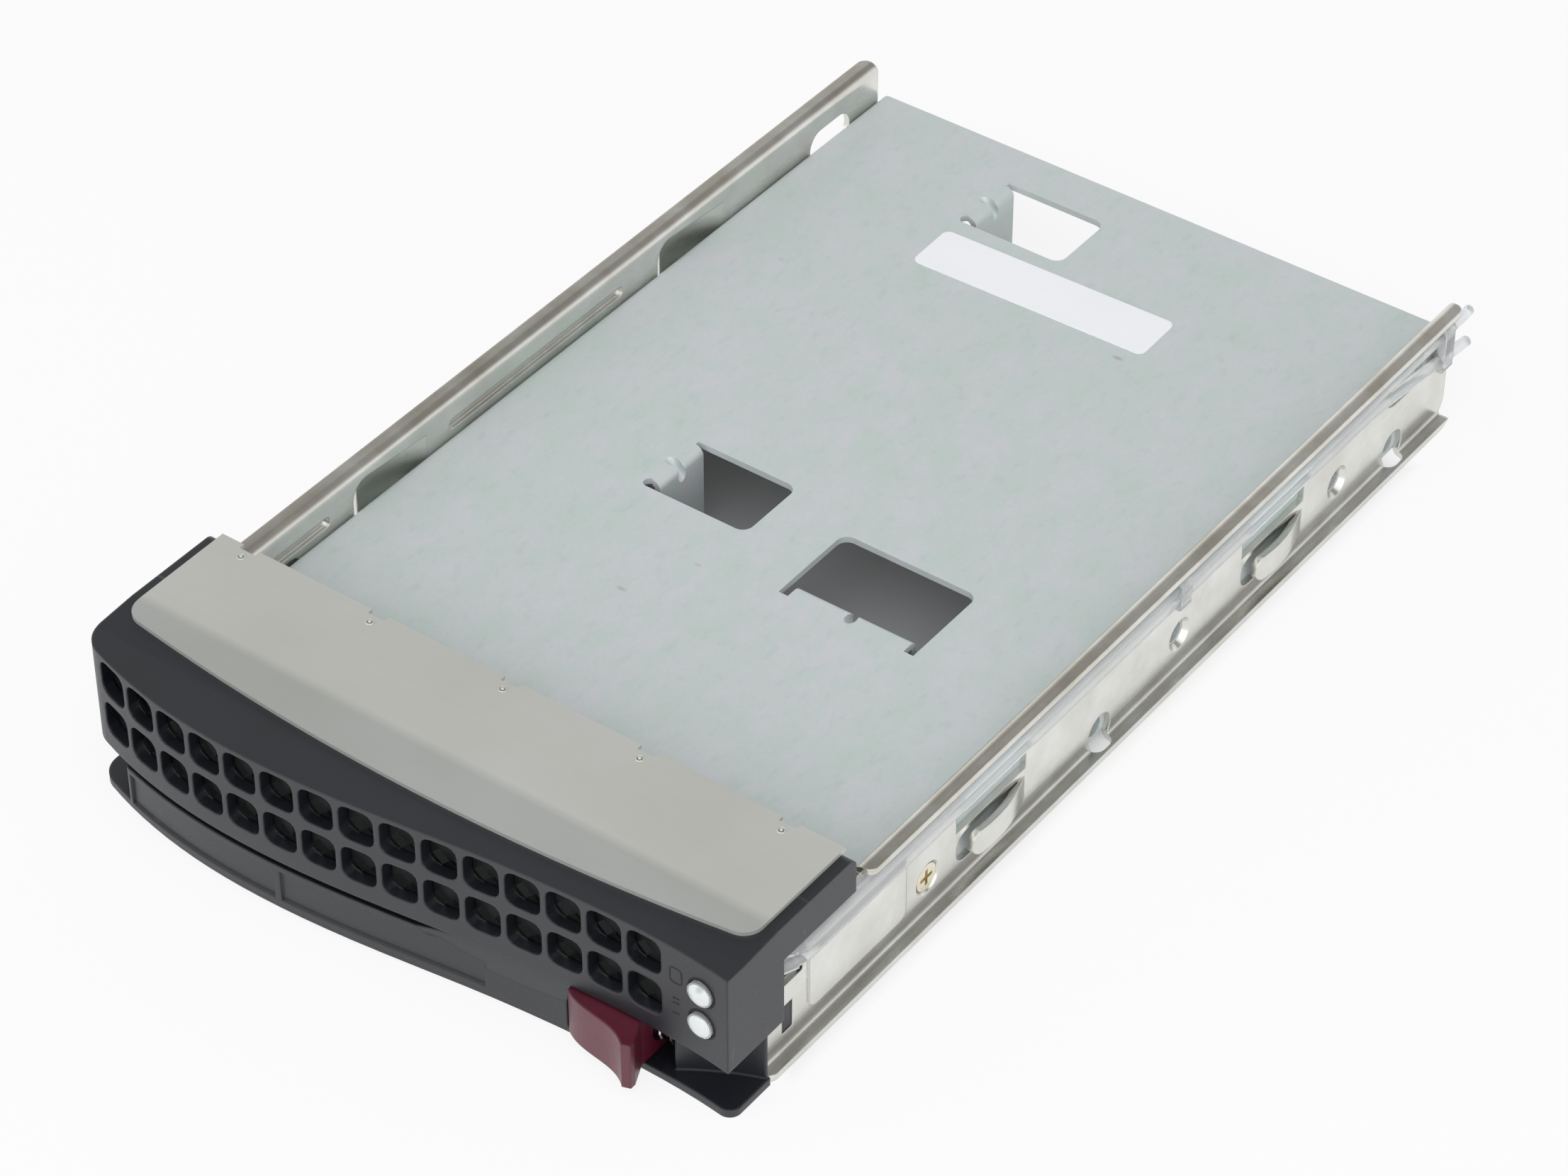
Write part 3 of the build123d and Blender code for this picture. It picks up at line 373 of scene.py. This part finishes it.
finishes = {
    "adapter_plate": plate_finish,
    "left_rail": rail_finish,
    "right_rail": rail_finish,
    "front_bezel": black_finish,
    "shield_flap": flap_finish,
    "vent_screen": shade_black_screen_finish,
    "handle_lever": black_finish,
    "lever_pin": wire_finish,
    "lever_spring": wire_finish,
    "release_button": button_finish,
    "button_spring": wire_finish,
    "light_pipe_upper": rod_finish,
    "light_pipe_lower": rod_finish,
    "light_pipe_clip_mid": rod_finish,
    "light_pipe_clip_rear": rod_finish,
    "plate_screw_left": screw_finish,
    "plate_screw_right": screw_finish,
    "label": label_finish,
}
for node, finish in finishes.items():
    slots = nodes[node].material_slots
    if len(slots) == 0:
        nodes[node].data.materials.append(finish)
    for slot in slots:
        slot.material = finish


# Trim that the solids leave out

def tray_piece(name, mesh, finish):
    """Object for a finished mesh that rides on the tray."""
    mesh.name = name
    mesh.materials.clear()
    mesh.materials.append(finish)
    piece = bpy.data.objects.new(name, mesh)
    bpy.context.scene.collection.objects.link(piece)
    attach(piece, "tray")


class Pattern:
    """A geometry node tree with named sizes, turned into a plain mesh when it is done."""

    def __init__(self, name, **sizes):
        self.name = name
        self.tree = bpy.data.node_groups.new(name, "GeometryNodeTree")
        self.values = {}
        for label, value in sizes.items():
            kind = "NodeSocketInt" if isinstance(value, int) else "NodeSocketFloat"
            socket = self.tree.interface.new_socket(label, in_out="INPUT", socket_type=kind)
            self.values[socket.identifier] = value
        self.tree.interface.new_socket("Geometry", in_out="OUTPUT", socket_type="NodeSocketGeometry")
        self.size = self.tree.nodes.new("NodeGroupInput").outputs
        self.last = self.tree.nodes.new("NodeGroupOutput")

    def node(self, kind, settings=None, **inputs):
        made = self.tree.nodes.new(kind)
        for key, value in (settings or {}).items():
            setattr(made, key, value)
        for key, value in inputs.items():
            target = made.inputs[key.replace("_", " ")]
            if isinstance(value, bpy.types.NodeSocket):
                self.tree.links.new(value, target)
            else:
                target.default_value = value
        return made

    def vector(self, x, y, z):
        return self.node("ShaderNodeCombineXYZ", X=x, Y=y, Z=z).outputs["Vector"]

    def joined(self, *parts):
        join = self.tree.nodes.new("GeometryNodeJoinGeometry")
        for part in parts:
            self.tree.links.new(part, join.inputs["Geometry"])
        return join.outputs["Geometry"]

    def mesh(self, geometry, finish):
        real = self.node("GeometryNodeRealizeInstances", Geometry=geometry).outputs["Geometry"]
        dressed = self.node("GeometryNodeSetMaterial", Geometry=real, Material=finish)
        self.tree.links.new(dressed.outputs["Geometry"], self.last.inputs["Geometry"])
        holder = bpy.data.objects.new(self.name, bpy.data.meshes.new(self.name))
        bpy.context.scene.collection.objects.link(holder)
        modifier = holder.modifiers.new(self.name, "NODES")
        modifier.node_group = self.tree
        for identifier, value in self.values.items():
            modifier[identifier] = value
        ready = holder.evaluated_get(bpy.context.evaluated_depsgraph_get())
        plain = bpy.data.meshes.new_from_object(ready)
        bpy.data.objects.remove(holder)
        return plain


def flap_studs():
    """Studs with a rolled rim along the rear edge of the flap, one at each notch."""
    low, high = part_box("shield_flap")
    first = low[0] + STUD_FIRST_INSET
    pitch = (high[0] - low[0] - STUD_FIRST_INSET - STUD_LAST_INSET) / (STUD_COUNT - 1)
    p = Pattern(
        "flap_studs",
        Count=STUD_COUNT,
        First=first,
        Pitch=pitch,
        Rear=high[1] - STUD_REAR_INSET,
        Top=high[2],
        Rim=STUD_RIM,
        Bead=STUD_BEAD,
        Head=STUD_HEAD,
    )
    rim = p.node("GeometryNodeCurvePrimitiveCircle", Resolution=28, Radius=p.size["Rim"])
    bead = p.node("GeometryNodeCurvePrimitiveCircle", Resolution=8, Radius=p.size["Bead"])
    ring = p.node("GeometryNodeCurveToMesh", Curve=rim.outputs[0], Profile_Curve=bead.outputs[0])
    head = p.node("GeometryNodeMeshUVSphere", Segments=16, Rings=8, Radius=p.size["Head"])
    stud = p.joined(ring.outputs[0], head.outputs["Mesh"])
    row = p.node(
        "GeometryNodeMeshLine",
        Count=p.size["Count"],
        Start_Location=p.vector(p.size["First"], p.size["Rear"], p.size["Top"]),
        Offset=p.vector(p.size["Pitch"], 0.0, 0.0),
    )
    set_out = p.node("GeometryNodeInstanceOnPoints", Points=row.outputs["Mesh"], Instance=stud)
    mesh = p.mesh(set_out.outputs["Instances"], flap_finish)
    tray_piece("flap_studs", mesh, flap_finish)


def screw_threads():
    """Helical thread on the free end of each plate screw."""
    low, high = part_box("plate_screw_right")
    p = Pattern(
        "screw_threads",
        Turns=THREAD_TURNS,
        Shank=THREAD_SHANK,
        Length=THREAD_LENGTH,
        Ridge=THREAD_RIDGE,
        Tip=low[0] + THREAD_RIDGE,
        Along=(low[1] + high[1]) / 2,
        Height=(low[2] + high[2]) / 2,
    )
    helix = p.node(
        "GeometryNodeCurveSpiral",
        Resolution=24,
        Rotations=p.size["Turns"],
        Start_Radius=p.size["Shank"],
        End_Radius=p.size["Shank"],
        Height=p.size["Length"],
    )
    ridge = p.node("GeometryNodeCurvePrimitiveCircle", Resolution=4, Radius=p.size["Ridge"])
    thread = p.node(
        "GeometryNodeCurveToMesh",
        Curve=helix.outputs[0],
        Profile_Curve=ridge.outputs[0],
        Fill_Caps=True,
    )
    right = p.node(
        "GeometryNodeTransform",
        Geometry=thread.outputs[0],
        Translation=p.vector(p.size["Tip"], 0.0, 0.0),
        Rotation=(0.0, math.pi / 2, 0.0),
    ).outputs[0]
    left = p.node("GeometryNodeTransform", Geometry=right, Rotation=(0.0, 0.0, math.pi)).outputs[0]
    both = p.node(
        "GeometryNodeTransform",
        Geometry=p.joined(right, left),
        Translation=p.vector(0.0, p.size["Along"], p.size["Height"]),
    ).outputs[0]
    tray_piece("screw_threads", p.mesh(both, screw_finish), screw_finish)


def bezel_face():
    """Function that gives the depth of the bezel's front face at a place across and up."""
    mesh = nodes["front_bezel"].data
    tree = BVHTree.FromPolygons(
        [v.co for v in mesh.vertices], [tuple(f.vertices) for f in mesh.polygons]
    )
    ahead = cad_box[0][1] - RAY_START

    def depth(x, z):
        return tree.ray_cast(Vector((x, ahead, z)), Vector((0, 1, 0)))[0].y

    return depth


def face_bead(path, width, closed, depth):
    """Raised bead on the bezel's face along a path of (x, z) points: vertices and faces."""
    section = (
        (-1, -BEAD_PROUD),
        (-1, 0.6 * BEAD_PROUD),
        (-0.5, BEAD_PROUD),
        (0.5, BEAD_PROUD),
        (1, 0.6 * BEAD_PROUD),
        (1, -BEAD_PROUD),
    )
    sides = len(section)
    count = len(path)
    points = []
    for i, (x, z) in enumerate(path):
        before = path[i - 1] if closed or i else path[i]
        after = path[(i + 1) % count] if closed or i < count - 1 else path[i]
        run = Vector((after[0] - before[0], after[1] - before[1])).normalized()
        for side, rise in section:
            px = x - side * run.y * width / 2
            pz = z + side * run.x * width / 2
            points.append((px, depth(px, pz) - rise, pz))
    faces = []
    for i in range(count if closed else count - 1):
        here, there = sides * i, sides * ((i + 1) % count)
        for k in range(sides):
            following = (k + 1) % sides
            faces.append((here + k, here + following, there + following, there + k))
    if not closed:
        faces.append(tuple(range(sides - 1, -1, -1)))
        faces.append(tuple(sides * (count - 1) + k for k in range(sides)))
    return points, faces


def outward(points, faces, name):
    """Mesh of closed shells with every face turned outwards."""
    mesh = bpy.data.meshes.new(name)
    mesh.from_pydata(points, [], faces)
    shell = bmesh.new()
    shell.from_mesh(mesh)
    bmesh.ops.recalc_face_normals(shell, faces=shell.faces)
    shell.to_mesh(mesh)
    shell.free()
    mesh.shade_smooth()
    return mesh


def gathered(parts):
    """One list of vertices and faces from several."""
    points, faces = [], []
    for part_points, part_faces in parts:
        start = len(points)
        points += part_points
        faces += [tuple(start + k for k in face) for face in part_faces]
    return points, faces


def round_path(x, z, radius, steps):
    """Circle of (x, z) points."""
    turns = [2 * math.pi * k / steps for k in range(steps)]
    return [(x + radius * math.cos(t), z + radius * math.sin(t)) for t in turns]


def rounded_frame(x, z, width, height, corner, steps=5):
    """Rectangle of (x, z) points with round corners."""
    path = []
    for quarter, (sx, sz) in enumerate(((1, 1), (-1, 1), (-1, -1), (1, -1))):
        for k in range(steps + 1):
            t = math.pi / 2 * (quarter + k / steps)
            px = x + sx * (width / 2 - corner) + corner * math.cos(t)
            pz = z + sz * (height / 2 - corner) + corner * math.sin(t)
            path.append((px, pz))
    return path


def domed_cap(x, front, z, radius, rise, rings=6, steps=40):
    """Shallow dome that faces the front, closed by a flat back."""
    points = []
    for ring in range(rings):
        t = math.pi / 2 * ring / rings
        r = radius * math.cos(t)
        y = front - rise * math.sin(t)
        points += [(px, y, pz) for px, pz in round_path(x, z, r, steps)]
    points.append((x, front - rise, z))
    faces = []
    for ring in range(rings - 1):
        for k in range(steps):
            a, b = ring * steps + k, ring * steps + (k + 1) % steps
            faces.append((a, b, b + steps, a + steps))
    last = (rings - 1) * steps
    faces += [(last + k, last + (k + 1) % steps, rings * steps) for k in range(steps)]
    faces.append(tuple(range(steps - 1, -1, -1)))
    return points, faces


STUD_COUNT = 5
STUD_FIRST_INSET = 5.2 * MM
STUD_LAST_INSET = 8.4 * MM
STUD_REAR_INSET = 2.2 * MM
STUD_RIM = 0.55 * MM
STUD_BEAD = 0.12 * MM
STUD_HEAD = 0.27 * MM
THREAD_TURNS = 4.0
THREAD_SHANK = 1.65 * MM
THREAD_LENGTH = 2.2 * MM
THREAD_RIDGE = 0.18 * MM
WINDOW_INSET = 4.4 * MM
WINDOW_HEIGHTS = (20.4 * MM, 15.0 * MM)
LENS_RADIUS = 1.7 * MM
LENS_RISE = 0.4 * MM
GAP_SHADOW_RADIUS = 2.13 * MM
GAP_SHADOW_WIDTH = 0.34 * MM
GAP_SHADOW_STEPS = 40
MARK_INSET = 8.6 * MM
MARK_WIDTH = 0.22 * MM
DRIVE_MARK_RISE = 0.3 * MM
DRIVE_MARK_SIZE = (1.9 * MM, 2.5 * MM)
DRIVE_MARK_CORNER = 0.5 * MM
STROKE_RISES = (1.7 * MM, 0.9 * MM, -0.9 * MM)
STROKE_HALF = 0.5 * MM
STROKE_TILT = 0.1 * MM
BEAD_PROUD = 0.07 * MM
RAY_START = 50 * MM

flap_studs()
screw_threads()

face_depth = bezel_face()
bezel_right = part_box("front_bezel")[1][0]
window_x = bezel_right - WINDOW_INSET
plug_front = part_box("light_pipe_upper")[0][1]
lenses = gathered([domed_cap(window_x, plug_front, z, LENS_RADIUS, LENS_RISE) for z in WINDOW_HEIGHTS])
tray_piece("indicator_lenses", outward(*lenses, "lenses"), lens_finish)
# Painted shadow: a thin near-black bead round each lens stands for the shaded gap in the bezel's hole
rims = gathered([
    face_bead(round_path(window_x, z, GAP_SHADOW_RADIUS, GAP_SHADOW_STEPS), GAP_SHADOW_WIDTH, True, face_depth)
    for z in WINDOW_HEIGHTS
])
tray_piece("indicator_gap_shadows", outward(*rims, "rims"), gap_shadow_finish)

mark_x = bezel_right - MARK_INSET
drive_mark = rounded_frame(
    mark_x, WINDOW_HEIGHTS[0] + DRIVE_MARK_RISE, *DRIVE_MARK_SIZE, DRIVE_MARK_CORNER
)
beads = [face_bead(drive_mark, MARK_WIDTH, True, face_depth)]
for rise in STROKE_RISES:
    stroke_z = WINDOW_HEIGHTS[1] + rise
    stroke = [(mark_x - STROKE_HALF, stroke_z), (mark_x + STROKE_HALF, stroke_z + STROKE_TILT)]
    beads.append(face_bead(stroke, MARK_WIDTH, False, face_depth))
marks = gathered(beads)
tray_piece("indicator_marks", outward(*marks, "marks"), black_finish)


# Studio

PALE_FLOOR = (0.88, 0.88, 0.88, 1)
PAINTED_SHADOW_UNDER_TRAY = (0.36, 0.37, 0.38, 1)
WHITE_OUTSIDE = 0.85
WHITE_UNDER_TRAY = 0.03
SHADE_X = (46 * MM, 56 * MM)
SHADE_Y = (64 * MM, 78 * MM)
FLOOR_HALF = 6.0
FLOOR_DROP = 0.2 * MM


def studio_floor():
    """Pale floor: white to the camera and in gloss outside the tray; under it a darker grey is painted as
    shadow on top of its own shade.
    """
    f = Finish("studio_floor", PALE_FLOOR, 0.9)
    seen = f.node("ShaderNodeLightPath")
    rays = f.larger(seen.outputs["Is Camera Ray"], seen.outputs["Is Glossy Ray"])
    rays = f.larger(rays, seen.outputs["Is Transmission Ray"])
    place = f.node("ShaderNodeSeparateXYZ")
    f.link(f.coords, place.inputs["Vector"])
    aside = f.range(f.math("ABSOLUTE", place.outputs["X"]), 0.0, 1.0, *SHADE_X)
    along = f.range(f.math("ABSOLUTE", place.outputs["Y"]), 0.0, 1.0, *SHADE_Y)
    outside = f.larger(aside, along)
    white = f.range(outside, WHITE_UNDER_TRAY, WHITE_OUTSIDE, 0.0, 1.0)
    # Painted shadow: the floor's colour turns grey under the tray
    f.colour(f.ramp(outside, PAINTED_SHADOW_UNDER_TRAY, PALE_FLOOR, 0.0, 1.0))
    glow = f.node("ShaderNodeEmission")
    glow.inputs["Strength"].default_value = 1.0
    blend = f.node("ShaderNodeMixShader")
    f.link(f.math("MULTIPLY", rays, white), blend.inputs["Fac"])
    f.link(f.shader.outputs["BSDF"], blend.inputs[1])
    f.link(glow.outputs["Emission"], blend.inputs[2])
    f.link(blend.outputs["Shader"], f.tree.nodes["Material Output"].inputs["Surface"])
    return f.material


floor_mesh = bpy.data.meshes.new("floor")
corners = [(sx * FLOOR_HALF, sy * FLOOR_HALF, -FLOOR_DROP) for sx, sy in ((-1, -1), (1, -1), (1, 1), (-1, 1))]
floor_mesh.from_pydata(corners, [], [(0, 1, 2, 3)])
floor_mesh.materials.append(studio_floor())
floor = bpy.data.objects.new("floor", floor_mesh)
bpy.context.scene.collection.objects.link(floor)


def studio_sky():
    """Soft room light, dimmer overhead; white to the camera, and low round the walls in gloss and glass."""
    world = bpy.data.worlds.new("studio")
    world.use_nodes = True
    sky = world.node_tree
    room = sky.nodes["Background"]
    way = sky.nodes.new("ShaderNodeTexCoord")
    parts = sky.nodes.new("ShaderNodeSeparateXYZ")
    sky.links.new(way.outputs["Generated"], parts.inputs["Vector"])

    def by_height(heights, low, high):
        fade = sky.nodes.new("ShaderNodeMapRange")
        fade.interpolation_type = "SMOOTHSTEP"
        fade.inputs["From Min"].default_value, fade.inputs["From Max"].default_value = heights
        fade.inputs["To Min"].default_value = low
        fade.inputs["To Max"].default_value = high
        sky.links.new(parts.outputs["Z"], fade.inputs["Value"])
        return fade.outputs["Result"]

    def calculated(operation, first, second):
        sum_node = sky.nodes.new("ShaderNodeMath")
        sum_node.operation = operation
        sky.links.new(first, sum_node.inputs[0])
        sky.links.new(second, sum_node.inputs[1])
        return sum_node.outputs["Value"]

    sky.links.new(by_height(WALL_TO_CEILING, WALL_LEVEL, CEILING_LEVEL), room.inputs["Strength"])
    room.inputs["Color"].default_value = (1, 1, 1, 1)
    white = sky.nodes.new("ShaderNodeBackground")
    white.inputs["Color"].default_value = (1, 1, 1, 1)
    white.inputs["Strength"].default_value = 1.0
    seen = sky.nodes.new("ShaderNodeLightPath")
    mirrored = calculated("MAXIMUM", seen.outputs["Is Glossy Ray"], seen.outputs["Is Transmission Ray"])
    low_mirrored = calculated("MULTIPLY", mirrored, by_height(WHITE_WALL, 1.0, 0.0))
    share = calculated("MAXIMUM", seen.outputs["Is Camera Ray"], low_mirrored)
    either = sky.nodes.new("ShaderNodeMixShader")
    sky.links.new(share, either.inputs["Fac"])
    sky.links.new(room.outputs["Background"], either.inputs[1])
    sky.links.new(white.outputs["Background"], either.inputs[2])
    sky.links.new(either.outputs["Shader"], sky.nodes["World Output"].inputs["Surface"])
    bpy.context.scene.world = world


WALL_LEVEL = 0.7
CEILING_LEVEL = 0.29
WALL_TO_CEILING = (0.4, 0.68)
WHITE_WALL = (0.25, 0.6)
studio_sky()


def softbox(name, place, size, power):
    """A square area lamp that points at the middle of the tray."""
    lamp = bpy.data.lights.new(name, "AREA")
    lamp.shape = "SQUARE"
    lamp.size = size
    lamp.energy = power
    lamp_object = bpy.data.objects.new(name, lamp)
    lamp_object.location = place
    lamp_object.rotation_euler = (LAMP_AIM - Vector(place)).to_track_quat("-Z", "Y").to_euler()
    bpy.context.scene.collection.objects.link(lamp_object)


LAMP_AIM = Vector((0, 0, 10 * MM))
softbox("key", place=(0.8, -0.6, 0.6), size=1.8, power=7.2)
softbox("fill", place=(-0.5, -0.95, 0.5), size=1.5, power=5.4)
softbox("top", place=(0.15, -0.35, 1.0), size=1.5, power=5.4)

# Camera at the photograph's viewpoint
camera_data = bpy.data.cameras.new("camera")
camera_data.sensor_fit = "HORIZONTAL"
camera_data.sensor_width = 36.0
camera_data.lens = 112.98
camera_data.clip_start = 0.01
camera_data.clip_end = 50
camera = bpy.data.objects.new("camera", camera_data)
camera_place = Vector((0.312636, -0.427362, 0.450703))
camera_aim = Vector((0.007384, -0.014057, 0.0144))
camera_turn = (camera_aim - camera_place).to_track_quat("-Z", "Y").to_matrix().to_4x4()
camera.matrix_world = Matrix.Translation(camera_place) @ camera_turn
bpy.context.scene.collection.objects.link(camera)
bpy.context.scene.camera = camera

bpy.context.scene.view_settings.view_transform = "Standard"
